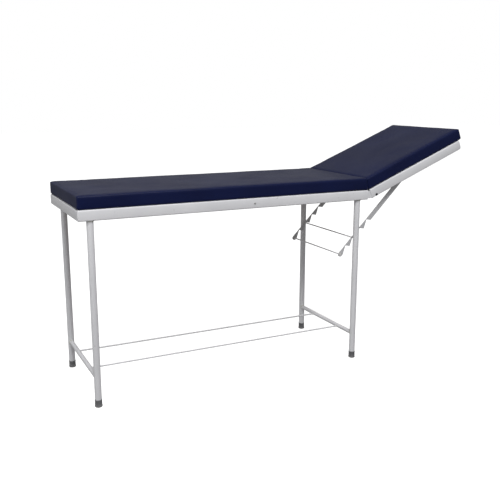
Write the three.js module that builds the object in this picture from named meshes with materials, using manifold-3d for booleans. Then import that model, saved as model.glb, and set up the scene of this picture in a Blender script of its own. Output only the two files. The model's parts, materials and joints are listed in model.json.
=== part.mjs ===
// Two-section examination couch: a welded steel frame on four pipe legs, a fixed seat section,
// and a backrest that is hinged to it and propped by a pair of notched arms.
//
// Millimetres, +Z up, floor at Z = 0. The couch lies along X with its foot end at -X and its head
// end at +X, and it is symmetric about Y = 0; "near" is the -Y side and "far" is the +Y side.
// It is drawn with the backrest raised to the third notch. Positions below are measured from the
// foot end of the frame, and the whole couch is shifted along X at the end, so that the origin is
// the middle of its floor area.
import * as THREE from "three";
import { mergeVertices } from "three/addons/utils/BufferGeometryUtils.js";
import Module from "manifold-3d";

// ---- driving dimensions -------------------------------------------------------------------
const GAP = 0.3; // between pieces that touch

const WIDTH = 500; // over the side rails
const RAIL_WIDTH = 40;
const RAIL_HEIGHT = 42;
const RAIL_WALL = 2;
const RAIL_CORNER = 3; // corner radius of the rail section
const FRAME_CORNER = 6; // corner radius of each frame in plan
const RAIL_BOTTOM = 744; // underside of the seat frame

const HINGE_X = 1297; // hinge axis, from the foot end
const HINGE_DROP = 5; // hinge axis below the top of the rails
const HINGE_GAP = 6; // from the hinge axis to each frame
const REST_DEGREES = 22; // backrest above level, in the third notch
const MOST_DEGREES = 58.5; // backrest above level, in the fourth notch
const BACK_LENGTH = 552; // hinge axis to the end of the backrest frame
const BACK_PAD_END = 565; // hinge axis to the end of the backrest pad, which overhangs the frame
const BACK_END_CORNER = 12; // radius under the head end
const SLIM_RAIL_HEIGHT = 25; // the backrest's hinge rail, which the arms pass under

const PAD_THICKNESS = 54;
const PAD_INSET = 1; // pad edge behind the face of the frame
const PAD_HINGE_GAP = 10.5; // pad end to the hinge axis, along each section
const PAD_CLEARANCE = 1.5; // each pad's end to the plane between them when fully raised
const PAD_CORNER = 14;
const BOARD_THICKNESS = 9;
const BOARD_INSET = 17; // board edge behind the edge of its pad

const LEG_DIAMETER = 26.9;
const LEG_WALL = 2;
const LEG_INSET = 20; // leg axis behind the face of the side rail
const FOOT_LEG_X = 49;
const HEAD_LEG_X = 1247.5;
const CAP_DIAMETER = 30.5;
const CAP_HEIGHT = 31;
const CAP_FLOOR = 4;

const CROSS_BAR_DIAMETER = 19;
const CROSS_BAR_HEIGHT = 119; // axis above the floor
const STRETCHER_DIAMETER = 7;
const STRETCHER_HEIGHT = 116;
const STRETCHER_Y = 106; // stretchers either side of the middle

const BRACE_WIDTH = 25;
const SEAT_BRACES = [430, 860]; // from the foot end
const STRAP_WIDTH = 30;
const STRAP_THICKNESS = 5;
const BACK_STRAPS = [150, 400]; // from the hinge axis

const ARM_Y = 206; // middle plane of each arm
const ARM_THICKNESS = 4;
const ARM_WIDTH = 22;
const ARM_PIVOT_ALONG = 268; // arm pivot on the backrest, from the hinge axis
const ARM_PIVOT_DROP = 16; // and below it
const ARM_BOSS_RADIUS = 13;
const NOTCH_PITCH = 52.5;
const NOTCH_COUNT = 4;
const SEATED_NOTCH = 3;
const NOTCH_NECK = 3; // metal left above a notch
const CATCH_FACE = 13.3; // run of a notch's steep face along the arm
const RAMP = 38; // run of a notch's long face
const CATCH_PAST_APEX = 1.3; // seated catch rod's axis below the apex of its notch
const CATCH_OFF_CENTRE = 4.2; // and off the arm's centre line
const LINK_PAST_LAST_NOTCH = 46;

const CATCH_Z = 567.5;
const CATCH_DIAMETER = 6;
const CATCH_HALF_SPAN = 196; // straight part of the catch rod, inside the arms
const CRANK_DROP = 34; // the rod's ends pass under the arms
const CRANK_SHIFT = 9; // and a little towards the head end
const LINK_DIAMETER = 6;

const LEAF_LENGTH = 80;
const LEAF_THICKNESS = 2.4;
const LEAF_DEPTH = 30;
const SLIM_LEAF_DEPTH = 19;
const KNUCKLE_RADIUS = 4.4;
const PIN_RADIUS = 2;
const BUTT_HINGE_Y = 120;

const CHEEK_THICKNESS = 3;
const CHEEK_CLEARANCE = 0.5; // cheek plate to the rail wall it lies behind
const CHEEK_REACH = 28; // beyond the hinge axis
const CHEEK_ROOT = 36; // inside the seat rail
const CHEEK_BOTTOM = 32; // below the hinge axis
const CHEEK_TOP = 2; // above it
const STOP_ALONG = 32.5; // stop bolt on the backrest rail, from the hinge axis
const STOP_DROP = 30.4; // and below it

const STOP_RADIUS = 3;
const STOP_LENGTH = 12;
const STOP_NUT_HEIGHT = 5;
const PIVOT_RADIUS = 4;
const PIVOT_BORE = 4.4;
const PIVOT_HEAD_HEIGHT = 5;

const SIDE_SCREW_X = 726; // screw along each seat rail, from the foot end
const SCREW_RADIUS = 2.2;
const SCREW_LENGTH = 9;
const ROUND = 24; // sides that stand in for a circle

// ---- worked out ------------------------------------------------------------------------------
const RAIL_TOP = RAIL_BOTTOM + RAIL_HEIGHT;
const HINGE_Z = RAIL_TOP - HINGE_DROP;
const REST = THREE.MathUtils.degToRad(REST_DEGREES);
const HALF_WIDTH = WIDTH / 2;
const LEG_Y = HALF_WIDTH - LEG_INSET;
const RAIL_INNER_Y = HALF_WIDTH - RAIL_WIDTH;
const LEG_RADIUS = LEG_DIAMETER / 2;
const SEAT_END = HINGE_X - HINGE_GAP;
const END_CAP = 6; // closed ends of the rails that run right across
const SIDES = [
  ["near", -1],
  ["far", 1],
];
const LEGS = [
  ["foot", FOOT_LEG_X],
  ["head", HEAD_LEG_X],
];

// ---- finishes ----------------------------------------------------------------------------------
function finish(color, roughness, metalness) {
  return { color, roughness, metalness };
}
const PAINT = finish(0xcfd0d4, 0.45, 0.1);
const VINYL = finish(0x1c2340, 0.5, 0);
const PLYWOOD = finish(0xb08a5a, 0.8, 0);
const RUBBER = finish(0x5c5d60, 0.85, 0);
const ZINC = finish(0xa8abb0, 0.35, 0.9);
const BLACK_STEEL = finish(0x2e2f32, 0.5, 0.7);

// ---- geometry helpers --------------------------------------------------------------------------
const wasm = await Module();
wasm.setup();

function solid(geometry) {
  const bare = geometry.clone();
  bare.deleteAttribute("normal");
  bare.deleteAttribute("uv");
  const merged = mergeVertices(bare, 1e-4);
  return new wasm.Manifold(
    new wasm.Mesh({
      numProp: 3,
      vertProperties: merged.attributes.position.array,
      triVerts: new Uint32Array(merged.index.array),
    }),
  );
}

function geometryOf(made) {
  const mesh = made.getMesh();
  const geometry = new THREE.BufferGeometry();
  geometry.setAttribute("position", new THREE.BufferAttribute(mesh.vertProperties, 3));
  geometry.setIndex(new THREE.BufferAttribute(mesh.triVerts, 1));
  geometry.computeVertexNormals();
  return geometry;
}

// A closed outline through corners [x, y, radius], each rounded by a curve of about that radius.
function outline(corners) {
  const shape = new THREE.Shape();
  corners.forEach(([x, y, radius = 0], i) => {
    const corner = new THREE.Vector2(x, y);
    const before = new THREE.Vector2(...corners.at(i - 1).slice(0, 2));
    const after = new THREE.Vector2(...corners[(i + 1) % corners.length].slice(0, 2));
    const start = corner.clone().add(before.sub(corner).setLength(radius));
    const end = corner.clone().add(after.sub(corner).setLength(radius));
    if (i === 0) shape.moveTo(start.x, start.y);
    else shape.lineTo(start.x, start.y);
    if (radius > 0) shape.quadraticCurveTo(x, y, end.x, end.y);
  });
  shape.closePath();
  return shape;
}

function rectangle(x0, y0, x1, y1, radius) {
  return outline([
    [x0, y0, radius],
    [x1, y0, radius],
    [x1, y1, radius],
    [x0, y1, radius],
  ]);
}

function extrude(shape, depth, curveSegments = 4) {
  return new THREE.ExtrudeGeometry(shape, { depth, bevelEnabled: false, curveSegments });
}

// A side view (x, z) pulled across the couch, from y0 to y1.
function acrossCouch(sideView, y0, y1, curveSegments) {
  return extrude(sideView, y1 - y0, curveSegments).rotateX(Math.PI / 2).translate(0, y1, 0);
}

// An end view (y, z) pulled along the couch, from x0 to x1.
function alongCouch(endView, x0, x1) {
  const turn = new THREE.Matrix4().makeBasis(
    new THREE.Vector3(0, 1, 0),
    new THREE.Vector3(0, 0, 1),
    new THREE.Vector3(1, 0, 0),
  );
  return extrude(endView, x1 - x0).applyMatrix4(turn).translate(x0, 0, 0);
}

function block(x0, x1, y0, y1, z0, z1) {
  return new THREE.BoxGeometry(x1 - x0, y1 - y0, z1 - z0).translate(
    (x0 + x1) / 2,
    (y0 + y1) / 2,
    (z0 + z1) / 2,
  );
}

// A round bar about an axis parallel to Y (a CylinderGeometry's own axis).
function barAcross(radius, y0, y1, x, z, segments = ROUND) {
  return new THREE.CylinderGeometry(radius, radius, y1 - y0, segments).translate(x, (y0 + y1) / 2, z);
}

function barAlong(radius, x0, x1, y, z, segments = 12) {
  return new THREE.CylinderGeometry(radius, radius, x1 - x0, segments)
    .rotateZ(Math.PI / 2)
    .translate((x0 + x1) / 2, y, z);
}

function barUp(radius, z0, z1, x, y, segments) {
  return new THREE.CylinderGeometry(radius, radius, z1 - z0, segments)
    .rotateX(Math.PI / 2)
    .translate(x, y, (z0 + z1) / 2);
}

// A pipe standing on z0: a ring section turned about Z.
function pipeUp(radius, wall, z0, z1, x, y) {
  const section = [
    [radius - wall, z0],
    [radius, z0],
    [radius, z1],
    [radius - wall, z1],
    [radius - wall, z0],
  ].map(([r, z]) => new THREE.Vector2(r, z));
  return new THREE.LatheGeometry(section, ROUND).rotateX(Math.PI / 2).translate(x, y, 0);
}

function mesh(name, made, { color, roughness, metalness }) {
  const geometry = made.isBufferGeometry ? made : geometryOf(made);
  const piece = new THREE.Mesh(geometry, new THREE.MeshStandardMaterial({ color, roughness, metalness }));
  piece.name = name;
  return piece;
}

// The span in Y of something on one side of the couch, given by its distances from the middle.
function onSide(sign, inner, outer) {
  return sign < 0 ? [-outer, -inner] : [inner, outer];
}

// ---- rails -------------------------------------------------------------------------------------
// A hollow rail along one side of the couch, open at its ends.
function sideRail(sign, [x0, x1], [z0, z1]) {
  const [y0, y1] = onSide(sign, RAIL_INNER_Y, HALF_WIDTH);
  const wall = RAIL_WALL;
  const outer = alongCouch(rectangle(y0, z0, y1, z1, RAIL_CORNER), x0, x1);
  const bore = block(x0 - 1, x1 + 1, y0 + wall, y1 - wall, z0 + wall, z1 - wall);
  return solid(outer).subtract(solid(bore));
}

// A hollow rail right across the couch, closed at its ends and drained through its underside.
function crossRail(sideView, [x0, x1], [z0, z1], halfLength, endCap) {
  const wall = RAIL_WALL;
  const hollowEnd = halfLength - endCap;
  const outer = acrossCouch(sideView, -halfLength, halfLength);
  const hollow = block(x0 + wall, x1 - wall, -hollowEnd, hollowEnd, z0 + wall, z1 - wall);
  const drain = barUp(3, z0 - 1, z0 + wall + 1, (x0 + x1) / 2, 0, 12);
  return solid(outer).subtract(solid(hollow)).subtract(solid(drain));
}

function innerCrossRail(x0, width, z0, z1) {
  const sideView = rectangle(x0, z0, x0 + width, z1, RAIL_CORNER);
  return crossRail(sideView, [x0, x0 + width], [z0, z1], RAIL_INNER_Y - GAP, RAIL_WALL);
}

function seatFrame(couch) {
  const z = [RAIL_BOTTOM, RAIL_TOP];
  const footView = rectangle(0, RAIL_BOTTOM, RAIL_WIDTH, RAIL_TOP, RAIL_CORNER);
  const plan = rectangle(0, -HALF_WIDTH, 2 * RAIL_WIDTH, HALF_WIDTH, FRAME_CORNER);
  const footRail = crossRail(footView, [0, RAIL_WIDTH], z, HALF_WIDTH, END_CAP).intersect(
    solid(extrude(plan, 2 * RAIL_TOP)),
  );
  couch.add(mesh("seat_rail_foot", footRail, PAINT));

  const screwZ = RAIL_BOTTOM + RAIL_HEIGHT / 2;
  for (const [side, sign] of SIDES) {
    const rail = sideRail(sign, [RAIL_WIDTH + GAP, SEAT_END], z);
    const [y0, y1] = onSide(sign, HALF_WIDTH - 2 * RAIL_WALL, HALF_WIDTH + 1);
    const hole = solid(barAcross(SCREW_RADIUS + GAP, y0, y1, SIDE_SCREW_X, screwZ, 16));
    couch.add(mesh(`seat_rail_${side}`, rail.subtract(hole), PAINT));
    const screw = domeScrew(sign, SIDE_SCREW_X, screwZ, SCREW_RADIUS, SCREW_LENGTH);
    couch.add(mesh(`side_screw_${side}`, screw, ZINC));
  }

  const headRail = innerCrossRail(SEAT_END - RAIL_WIDTH, RAIL_WIDTH, ...z);
  couch.add(mesh("seat_rail_head", headRail, PAINT));
  SEAT_BRACES.forEach((x, i) => {
    const brace = innerCrossRail(x, BRACE_WIDTH, RAIL_TOP - BRACE_WIDTH, RAIL_TOP - GAP);
    couch.add(mesh(`seat_brace_${i + 1}`, brace, PAINT));
  });
}

// A dome-headed screw or bolt in the outer face of a side rail.
function domeScrew(sign, x, z, shankRadius, shankLength) {
  const head = 2 * shankRadius;
  const profile = [
    [0, -shankLength],
    [shankRadius, -shankLength],
    [shankRadius, 0],
    [head - 0.5, 0],
    [head, 0.5],
    [0.85 * head, 0.55 * shankRadius],
    [0.5 * head, 0.8 * shankRadius],
    [0, 0.9 * shankRadius],
  ].map(([radius, y]) => new THREE.Vector2(radius, y));
  const screw = new THREE.LatheGeometry(profile, 16);
  if (sign < 0) screw.rotateX(Math.PI);
  return screw.translate(x, sign * (HALF_WIDTH + GAP), z);
}

// A nut or a washer round an axis across the couch.
function ringAcross(outerRadius, boreRadius, [y0, y1], x, z, segments) {
  const body = solid(barAcross(outerRadius, y0, y1, x, z, segments));
  return body.subtract(solid(barAcross(boreRadius, y0 - 1, y1 + 1, x, z, 16)));
}

// ---- legs, caps and bars -----------------------------------------------------------------------
function legSpace(x, sign) {
  return solid(barUp(LEG_RADIUS + GAP, 0, RAIL_BOTTOM, x, sign * LEG_Y, ROUND));
}

function legsAndCaps(couch) {
  const capRadius = CAP_DIAMETER / 2;
  const socket = LEG_RADIUS + GAP;
  const cup = [
    [0, 0],
    [capRadius - 2, 0],
    [capRadius, 2],
    [capRadius, CAP_HEIGHT - 1],
    [capRadius - 0.8, CAP_HEIGHT],
    [socket, CAP_HEIGHT],
    [socket, CAP_FLOOR],
    [0, CAP_FLOOR],
  ].map(([radius, z]) => new THREE.Vector2(radius, z));
  for (const [end, x] of LEGS) {
    for (const [side, sign] of SIDES) {
      const y = sign * LEG_Y;
      const pipe = pipeUp(LEG_RADIUS, LEG_WALL, CAP_FLOOR + GAP, RAIL_BOTTOM - GAP, x, y);
      couch.add(mesh(`leg_${end}_${side}`, pipe, PAINT));
      const cap = new THREE.LatheGeometry(cup, ROUND).rotateX(Math.PI / 2).translate(x, y, 0);
      couch.add(mesh(`foot_cap_${end}_${side}`, cap, RUBBER));
    }
  }
}

function lowerBars(couch) {
  const barRadius = CROSS_BAR_DIAMETER / 2;
  for (const [end, x] of LEGS) {
    const bar = solid(barAcross(barRadius, -LEG_Y, LEG_Y, x, CROSS_BAR_HEIGHT))
      .subtract(legSpace(x, -1))
      .subtract(legSpace(x, 1));
    couch.add(mesh(`cross_bar_${end}`, bar, PAINT));
  }
  for (const [side, sign] of SIDES) {
    const y = sign * STRETCHER_Y;
    const rodRadius = STRETCHER_DIAMETER / 2;
    let rod = solid(barAlong(rodRadius, FOOT_LEG_X, HEAD_LEG_X, y, STRETCHER_HEIGHT));
    for (const [, x] of LEGS) {
      const room = barAcross(barRadius + GAP, y - barRadius, y + barRadius, x, CROSS_BAR_HEIGHT);
      rod = rod.subtract(solid(room));
    }
    couch.add(mesh(`stretcher_${side}`, rod, PAINT));
  }
}

// The rod between the head legs that the arms' notches rest over. Its ends are cranked down and
// cross under the arms, which leaves the arms free to swing and slide.
function catchRod(couch) {
  const radius = CATCH_DIAMETER / 2;
  const lowX = HEAD_LEG_X + CRANK_SHIFT;
  const lowZ = CATCH_Z - CRANK_DROP;
  const crank = Math.hypot(CRANK_SHIFT, CRANK_DROP);
  const lean = Math.atan2(CRANK_SHIFT, -CRANK_DROP);
  let rod = solid(barAcross(radius, -CATCH_HALF_SPAN, CATCH_HALF_SPAN, HEAD_LEG_X, CATCH_Z, 12));
  for (const [, sign] of SIDES) {
    const y = sign * CATCH_HALF_SPAN;
    const [y0, y1] = onSide(sign, CATCH_HALF_SPAN, LEG_Y);
    const bends = [
      [HEAD_LEG_X, CATCH_Z],
      [lowX, lowZ],
    ];
    for (const [x, z] of bends) {
      rod = rod.add(solid(new THREE.SphereGeometry(radius, 12, 8).translate(x, y, z)));
    }
    const drop = new THREE.CylinderGeometry(radius, radius, crank, 12)
      .rotateX(Math.PI / 2)
      .rotateY(lean)
      .translate((HEAD_LEG_X + lowX) / 2, y, (CATCH_Z + lowZ) / 2);
    rod = rod.add(solid(drop)).add(solid(barAcross(radius, y0, y1, lowX, lowZ, 12)));
    rod = rod.subtract(legSpace(HEAD_LEG_X, sign));
  }
  couch.add(mesh("catch_rod", rod, PAINT));
}

// ---- pads and boards ---------------------------------------------------------------------------
// A pad with its board let into the underside. X runs from the hinge axis along the section and
// Z = 0 is the hinge axis. The pad's hinge end slants back, so that the two pads still clear each
// other when the backrest is fully raised.
function padSection(name, end) {
  const section = new THREE.Group();
  const bottom = HINGE_DROP + GAP;
  const top = HINGE_DROP + PAD_THICKNESS;
  const slant = Math.tan(THREE.MathUtils.degToRad(MOST_DEGREES / 2));
  const halfWidth = HALF_WIDTH - PAD_INSET;
  const sideView = outline([
    [PAD_HINGE_GAP, bottom],
    [end, bottom, 3],
    [end, top, PAD_CORNER],
    [PAD_CLEARANCE + top * slant, top, 4],
    [PAD_HINGE_GAP, (PAD_HINGE_GAP - PAD_CLEARANCE) / slant],
  ]);
  const plan = rectangle(0, -halfWidth, end, halfWidth, PAD_CORNER);
  const [x0, x1] = [PAD_HINGE_GAP + BOARD_INSET, end - BOARD_INSET];
  const y = halfWidth - BOARD_INSET;
  const boardTop = bottom + BOARD_THICKNESS;
  const pocket = block(x0 - GAP, x1 + GAP, -y - GAP, y + GAP, 0, boardTop + GAP);
  const pad = solid(acrossCouch(sideView, -halfWidth, halfWidth))
    .intersect(solid(extrude(plan, 2 * top)))
    .subtract(solid(pocket));
  section.add(mesh(`${name}_pad`, pad, VINYL));
  section.add(mesh(`${name}_board`, block(x0, x1, -y, y, bottom, boardTop), PLYWOOD));
  return section;
}

// ---- hinges ------------------------------------------------------------------------------------
// One leaf of a butt hinge about the axis X = Z = 0. The seat's leaf (towards -X) has the two
// outer knuckles and the backrest's leaf (towards +X) has the middle one.
function hingeLeaf(towards, depth, centreY) {
  const half = LEAF_LENGTH / 2;
  const third = LEAF_LENGTH / 6;
  const outerKnuckles = [
    [-half, -third - GAP],
    [third + GAP, half],
  ];
  const middleKnuckle = [[GAP - third, third - GAP]];
  const [own, other] = towards < 0 ? [outerKnuckles, middleKnuckle] : [middleKnuckle, outerKnuckles];
  const far = HINGE_GAP - GAP;
  const [x0, x1] = onSide(towards, far - LEAF_THICKNESS, far);
  let leaf = solid(block(x0, x1, centreY - half, centreY + half, -depth, 2));
  for (const [y0, y1] of other) {
    const below = -1.5 * KNUCKLE_RADIUS;
    leaf = leaf.subtract(solid(block(x0 - 1, x1 + 1, centreY + y0 - 1, centreY + y1 + 1, below, 3)));
  }
  for (const [y0, y1] of own) {
    leaf = leaf.add(solid(barAcross(KNUCKLE_RADIUS, centreY + y0, centreY + y1, 0, 0, 16)));
  }
  const bore = barAcross(PIN_RADIUS + GAP, centreY - half - 1, centreY + half + 1, 0, 0, 12);
  return leaf.subtract(solid(bore));
}

function hingePin(centreY) {
  const half = LEAF_LENGTH / 2 + 1;
  return barAcross(PIN_RADIUS, centreY - half, centreY + half, 0, 0, 12);
}

// A plate in the end of each seat rail that reaches into the backrest rail and closes the gap.
function cheekPlate(sign) {
  const plate = outline([
    [-CHEEK_ROOT, -CHEEK_BOTTOM],
    [CHEEK_REACH, -CHEEK_BOTTOM, 8],
    [CHEEK_REACH, CHEEK_TOP, 12],
    [-CHEEK_ROOT, CHEEK_TOP],
  ]);
  const outer = HALF_WIDTH - RAIL_WALL - CHEEK_CLEARANCE;
  return acrossCouch(plate, ...onSide(sign, outer - CHEEK_THICKNESS, outer));
}

function hingeSeatSide(couch) {
  const onAxis = new THREE.Group();
  onAxis.position.set(HINGE_X, 0, HINGE_Z);
  for (const [side, sign] of SIDES) {
    const y = sign * BUTT_HINGE_Y;
    onAxis.add(mesh(`hinge_seat_leaf_${side}`, hingeLeaf(-1, LEAF_DEPTH, y), PAINT));
    onAxis.add(mesh(`hinge_pin_${side}`, hingePin(y), ZINC));
    onAxis.add(mesh(`hinge_cheek_${side}`, cheekPlate(sign), PAINT));
  }
  couch.add(onAxis);
}

// ---- backrest ----------------------------------------------------------------------------------
// The backrest is drawn level, with X running from the hinge axis to the head end.
function backrestRails(backrest) {
  const z = [HINGE_DROP - RAIL_HEIGHT, HINGE_DROP];
  const endX = BACK_LENGTH - RAIL_WIDTH;
  const endView = outline([
    [endX, z[0], RAIL_CORNER],
    [BACK_LENGTH, z[0], BACK_END_CORNER],
    [BACK_LENGTH, z[1], RAIL_CORNER],
    [endX, z[1], RAIL_CORNER],
  ]);
  const plan = rectangle(0, -HALF_WIDTH, BACK_LENGTH, HALF_WIDTH, FRAME_CORNER);
  const endRail = crossRail(endView, [endX, BACK_LENGTH - END_CAP], z, HALF_WIDTH, END_CAP).intersect(
    solid(extrude(plan, 2 * RAIL_HEIGHT).translate(0, 0, -RAIL_HEIGHT)),
  );
  backrest.add(mesh("back_rail_end", endRail, PAINT));

  for (const [side, sign] of SIDES) {
    const slotY = onSide(sign, HALF_WIDTH - 3 * RAIL_WALL, HALF_WIDTH - RAIL_WALL);
    const slot = block(0, CHEEK_REACH, ...slotY, z[0] - 1, z[0] + RAIL_WALL + 1);
    const stopY = onSide(sign, HALF_WIDTH - 2 * RAIL_WALL, HALF_WIDTH + 1);
    const stopHole = barAcross(STOP_RADIUS + GAP, ...stopY, STOP_ALONG, -STOP_DROP, 16);
    const pivotY = onSide(sign, RAIL_INNER_Y - 1, RAIL_INNER_Y + 2 * RAIL_WALL);
    const pivotHole = barAcross(PIVOT_BORE, ...pivotY, ARM_PIVOT_ALONG, -ARM_PIVOT_DROP, 16);
    const rail = sideRail(sign, [HINGE_GAP, endX - GAP], z)
      .subtract(solid(slot))
      .subtract(solid(stopHole))
      .subtract(solid(pivotHole));
    backrest.add(mesh(`back_rail_${side}`, rail, PAINT));
  }

  const slimRail = innerCrossRail(HINGE_GAP, RAIL_WIDTH, z[1] - SLIM_RAIL_HEIGHT, z[1]);
  backrest.add(mesh("back_rail_hinge", slimRail, PAINT));
  const reach = RAIL_INNER_Y - GAP;
  const strapTop = HINGE_DROP - GAP;
  BACK_STRAPS.forEach((x, i) => {
    const strap = block(x, x + STRAP_WIDTH, -reach, reach, strapTop - STRAP_THICKNESS, strapTop);
    backrest.add(mesh(`back_strap_${i + 1}`, strap, PAINT));
  });
}

function backrestFittings(backrest) {
  for (const [side, sign] of SIDES) {
    const leaf = hingeLeaf(1, SLIM_LEAF_DEPTH, sign * BUTT_HINGE_Y);
    backrest.add(mesh(`hinge_back_leaf_${side}`, leaf, PAINT));

    const stop = domeScrew(sign, STOP_ALONG, -STOP_DROP, STOP_RADIUS, STOP_LENGTH);
    backrest.add(mesh(`stop_bolt_${side}`, stop, BLACK_STEEL));
    const nutOuter = HALF_WIDTH - RAIL_WALL - GAP;
    const stopNutY = onSide(sign, nutOuter - STOP_NUT_HEIGHT, nutOuter);
    const stopNut = ringAcross(1.4 * STOP_RADIUS, STOP_RADIUS + GAP, stopNutY, STOP_ALONG, -STOP_DROP, 6);
    backrest.add(mesh(`stop_nut_${side}`, stopNut, BLACK_STEEL));

    const at = [ARM_PIVOT_ALONG, -ARM_PIVOT_DROP];
    const armInner = ARM_Y - ARM_THICKNESS / 2;
    const armOuter = ARM_Y + ARM_THICKNESS / 2;
    const headY = onSide(sign, armInner - GAP - PIVOT_HEAD_HEIGHT, armInner - GAP);
    const shankY = onSide(sign, armInner - GAP - 1, RAIL_INNER_Y + RAIL_WALL + PIVOT_HEAD_HEIGHT + 3);
    const bolt = solid(barAcross(1.6 * PIVOT_RADIUS, ...headY, ...at, 6)).add(
      solid(barAcross(PIVOT_RADIUS, ...shankY, ...at, 16)),
    );
    backrest.add(mesh(`pivot_bolt_${side}`, bolt, ZINC));
    const washerY = onSide(sign, armOuter + GAP, RAIL_INNER_Y - GAP);
    const washer = ringAcross(2 * PIVOT_RADIUS, PIVOT_BORE, washerY, ...at, ROUND);
    backrest.add(mesh(`pivot_washer_${side}`, washer, ZINC));
    const nutInner = RAIL_INNER_Y + RAIL_WALL + GAP;
    const pivotNutY = onSide(sign, nutInner, nutInner + PIVOT_HEAD_HEIGHT);
    const nut = ringAcross(1.6 * PIVOT_RADIUS, PIVOT_BORE, pivotNutY, ...at, 6);
    backrest.add(mesh(`pivot_nut_${side}`, nut, ZINC));
  }
}

// ---- prop --------------------------------------------------------------------------------------
// The two notched arms and the rod that links their lower ends. X runs down the arms from their
// pivot, and +Z is the side with the notches.
function propArm(seatedApex, linkAt) {
  const half = ARM_WIDTH / 2;
  const tip = linkAt + half;
  const notches = [];
  for (let notch = 1; notch <= NOTCH_COUNT; notch++) {
    const apex = seatedApex + (notch - SEATED_NOTCH) * NOTCH_PITCH;
    notches.push([apex - CATCH_FACE, half], [apex, NOTCH_NECK - half], [apex + RAMP, half]);
  }
  const bar = outline([[0, half], ...notches, [tip, half, half], [tip, -half, half], [0, -half]]);
  return bar;
}

function prop(backrest) {
  const pivotX = HINGE_X + ARM_PIVOT_ALONG * Math.cos(REST) + ARM_PIVOT_DROP * Math.sin(REST);
  const pivotZ = HINGE_Z + ARM_PIVOT_ALONG * Math.sin(REST) - ARM_PIVOT_DROP * Math.cos(REST);
  const [runX, runZ] = [pivotX - HEAD_LEG_X, pivotZ - CATCH_Z];
  const toCatch = Math.hypot(runX, runZ);
  const armAngle = Math.atan2(runZ, runX) + Math.asin(CATCH_OFF_CENTRE / toCatch);
  const seatedApex = toCatch - CATCH_PAST_APEX;
  const linkAt = seatedApex + (NOTCH_COUNT - SEATED_NOTCH) * NOTCH_PITCH + LINK_PAST_LAST_NOTCH;

  const group = new THREE.Group();
  group.position.set(ARM_PIVOT_ALONG, 0, -ARM_PIVOT_DROP);
  group.rotation.y = Math.PI - (armAngle - REST);
  const linkRadius = LINK_DIAMETER / 2;
  for (const [side, sign] of SIDES) {
    const y = onSide(sign, ARM_Y - ARM_THICKNESS / 2, ARM_Y + ARM_THICKNESS / 2);
    const [past0, past1] = [y[0] - 1, y[1] + 1];
    const arm = solid(acrossCouch(propArm(seatedApex, linkAt), ...y))
      .add(solid(barAcross(ARM_BOSS_RADIUS, ...y, 0, 0)))
      .subtract(solid(barAcross(PIVOT_BORE, past0, past1, 0, 0, 16)))
      .subtract(solid(barAcross(linkRadius + GAP, past0, past1, linkAt, 0, 16)));
    group.add(mesh(`prop_arm_${side}`, arm, PAINT));
  }
  const linkEnd = ARM_Y + ARM_THICKNESS;
  group.add(mesh("link_rod", barAcross(linkRadius, -linkEnd, linkEnd, linkAt, 0, 12), PAINT));
  backrest.add(group);
}

// ---- the couch ---------------------------------------------------------------------------------
const group = new THREE.Group();
seatFrame(group);
legsAndCaps(group);
lowerBars(group);
catchRod(group);
hingeSeatSide(group);

const seatPad = padSection("seat", HINGE_X - PAD_INSET);
seatPad.position.set(HINGE_X, 0, HINGE_Z);
seatPad.rotation.z = Math.PI;
group.add(seatPad);

const backrest = new THREE.Group();
backrest.position.set(HINGE_X, 0, HINGE_Z);
backrest.rotation.y = -REST;
backrestRails(backrest);
backrestFittings(backrest);
prop(backrest);
backrest.add(padSection("back", BACK_PAD_END));
group.add(backrest);

const bounds = new THREE.Box3().setFromObject(group, true);
group.position.x = -(bounds.min.x + bounds.max.x) / 2;

export default group;
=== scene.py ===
"""Looks for the two-section examination couch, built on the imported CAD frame.

Shapes are given in millimetres in the row frame and become metres when their mesh is made.
"""

import json
import math

import bmesh
import bpy
from mathutils import Matrix, Vector, noise


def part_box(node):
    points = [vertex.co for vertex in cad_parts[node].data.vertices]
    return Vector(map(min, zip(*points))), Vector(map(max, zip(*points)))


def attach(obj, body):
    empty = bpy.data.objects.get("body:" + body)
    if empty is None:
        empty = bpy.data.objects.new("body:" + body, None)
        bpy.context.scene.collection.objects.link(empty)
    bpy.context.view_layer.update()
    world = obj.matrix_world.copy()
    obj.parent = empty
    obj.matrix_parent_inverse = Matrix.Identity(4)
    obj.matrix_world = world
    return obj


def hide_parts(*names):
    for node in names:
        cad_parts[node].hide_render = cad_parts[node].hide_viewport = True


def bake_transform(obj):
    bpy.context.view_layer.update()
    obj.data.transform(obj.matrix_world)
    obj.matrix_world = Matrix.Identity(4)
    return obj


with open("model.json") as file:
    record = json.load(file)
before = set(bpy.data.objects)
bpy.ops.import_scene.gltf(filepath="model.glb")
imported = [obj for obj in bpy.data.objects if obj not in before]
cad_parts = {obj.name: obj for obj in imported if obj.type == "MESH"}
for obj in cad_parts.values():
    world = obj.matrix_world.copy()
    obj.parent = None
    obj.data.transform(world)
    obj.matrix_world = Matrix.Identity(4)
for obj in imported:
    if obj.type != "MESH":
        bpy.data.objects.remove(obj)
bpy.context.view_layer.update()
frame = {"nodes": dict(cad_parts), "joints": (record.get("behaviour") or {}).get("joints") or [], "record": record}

# ---- light --------------------------------------------------------------------------------------
AMBIENT_ABOVE = 0.40
AMBIENT_BELOW = 0.20
HORIZON_BAND = 0.15  # the ambient light changes from this far below the horizon to this far above
FLOOR_SIZE = 40
FLOOR_DROP = 0.0005  # metres below the feet

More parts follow.
